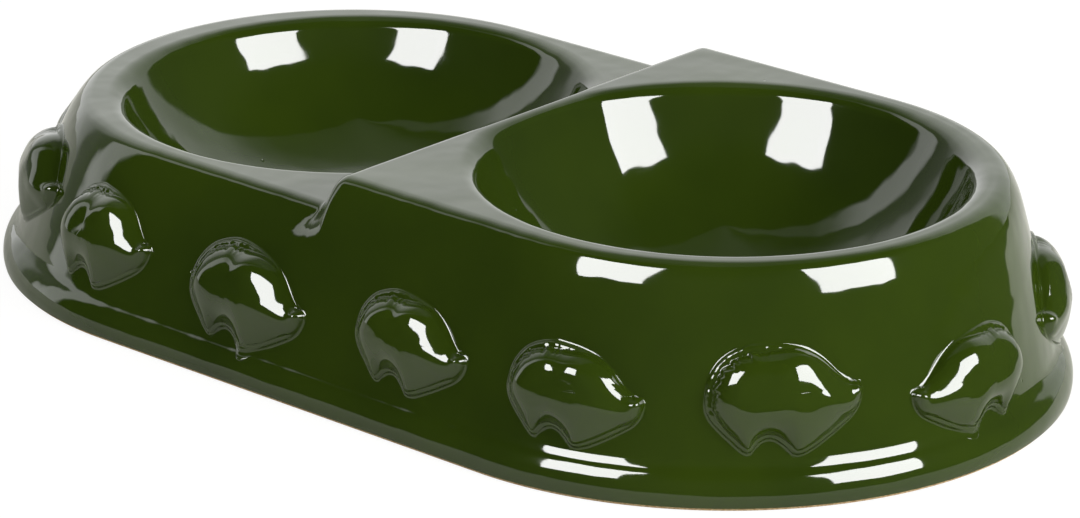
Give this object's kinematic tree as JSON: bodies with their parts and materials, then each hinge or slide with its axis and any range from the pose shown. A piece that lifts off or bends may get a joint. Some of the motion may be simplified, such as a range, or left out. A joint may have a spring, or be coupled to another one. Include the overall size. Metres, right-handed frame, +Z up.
{
  "type": "double pet bowl",
  "caption": "Glazed ceramic double pet bowl: an oval flared body with a stepped top, a round basin on each level and raised hedgehogs round the wall.",
  "frame": {"origin": "centre of the foot's outline, on the table", "axes": "+X along the length towards the higher bowl, +Y across, +Z up"},
  "size_m": [0.2934, 0.17, 0.0523],
  "materials": {
    "green_glaze": "gloss",
    "bare_stoneware": "matte"
  },
  "bodies": {
    "root": {"foot_ring": "bare_stoneware", "outer_wall": "green_glaze", "lower_deck": "green_glaze", "upper_deck": "green_glaze", "step_riser": "green_glaze", "lower_bowl": "green_glaze", "upper_bowl": "green_glaze", "hedgehog_relief_01": "green_glaze", "hedgehog_relief_02": "green_glaze", "hedgehog_relief_03": "green_glaze", "hedgehog_relief_04": "green_glaze", "hedgehog_relief_05": "green_glaze", "hedgehog_relief_06": "green_glaze", "hedgehog_relief_07": "green_glaze", "hedgehog_relief_08": "green_glaze", "hedgehog_relief_09": "green_glaze", "hedgehog_relief_10": "green_glaze", "hedgehog_relief_11": "green_glaze", "hedgehog_relief_12": "green_glaze", "hedgehog_relief_13": "green_glaze", "hedgehog_relief_14": "green_glaze", "hedgehog_relief_15": "green_glaze"}
  },
  "joints": []
}
